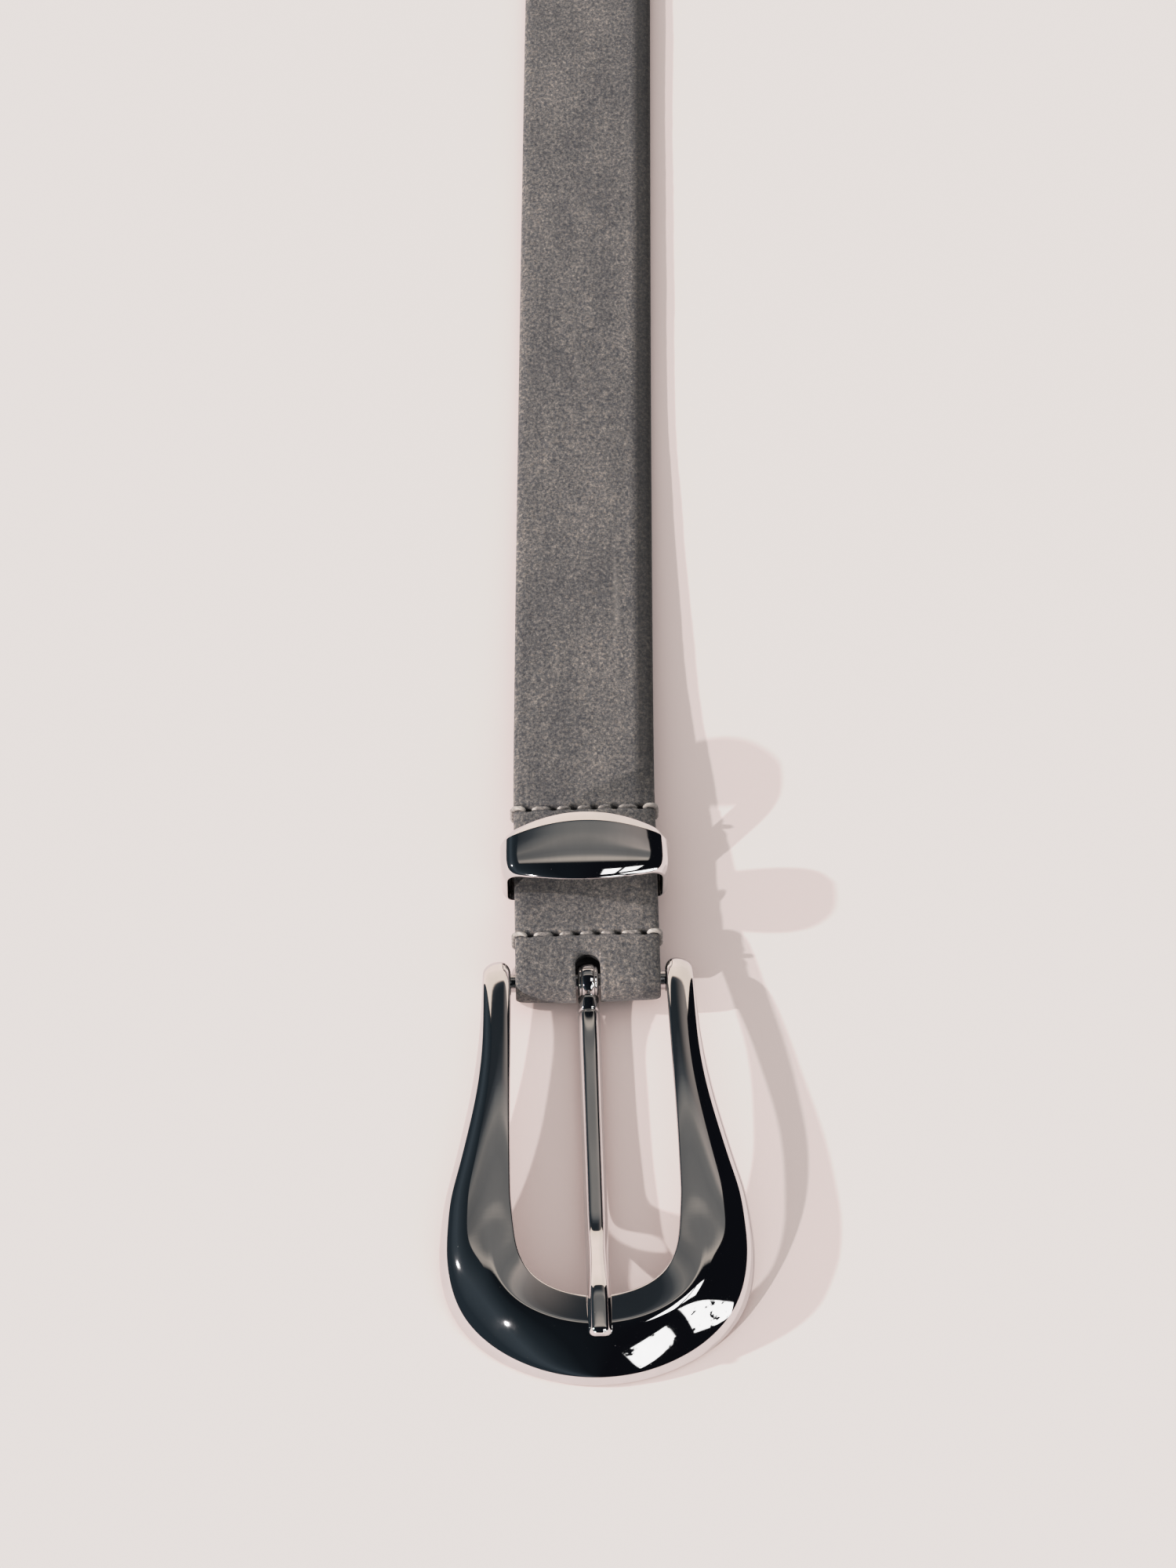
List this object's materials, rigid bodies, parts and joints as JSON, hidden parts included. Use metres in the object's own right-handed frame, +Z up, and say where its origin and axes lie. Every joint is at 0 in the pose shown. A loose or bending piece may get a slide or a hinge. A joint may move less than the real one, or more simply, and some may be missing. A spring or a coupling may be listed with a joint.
{
  "type": "belt buckle",
  "caption": "Long domed horseshoe belt buckle with heel bar, stepped prong and high bowed keeper, on the folded and stitched end of its leather strap.",
  "frame": {"origin": "middle of the footprint, on the surface the belt end lies on", "axes": "+Y along the strap away from the buckle, +Z up out of the strap's face, X across the strap"},
  "size_m": [0.0632, 0.3693, 0.0207],
  "materials": {
    "polished_chrome": "mirror polished plate on cast alloy",
    "bar_steel": "plated steel rod",
    "prong_chrome": "mirror polished plate",
    "keeper_chrome": "mirror polished plate",
    "nubuck": "fine napped nubuck, dark grey",
    "bonded_leather": "dyed cut edge",
    "lining_leather": "smooth black lining leather",
    "waxed_thread": "waxed polyester thread"
  },
  "bodies": {
    "strap": {"strap_face": "nubuck", "strap_filler": "bonded_leather", "strap_lining": "lining_leather", "stitch_row_front": "waxed_thread", "stitch_row_rear": "waxed_thread"},
    "frame": {"buckle_frame": "polished_chrome", "heel_bar": "bar_steel"},
    "prong": {"prong": "prong_chrome"},
    "keeper": {"keeper_loop": "keeper_chrome"}
  },
  "joints": [
    {"name": "frame_hinge", "type": "hinge", "parent": "strap", "child": "frame", "pos_m": [0, -0.096, 0.0054], "axis": [-1, 0, 0], "range_deg": [-60, 70]},
    {"name": "prong_hinge", "type": "hinge", "parent": "frame", "child": "prong", "pos_m": [0, -0.096, 0.0054], "axis": [-1, 0, 0], "range_deg": [0, 50]},
    {"name": "keeper_slide", "type": "slide", "parent": "strap", "child": "keeper", "axis": [0, 1, 0], "range_m": [-0.006, 0.006]}
  ]
}
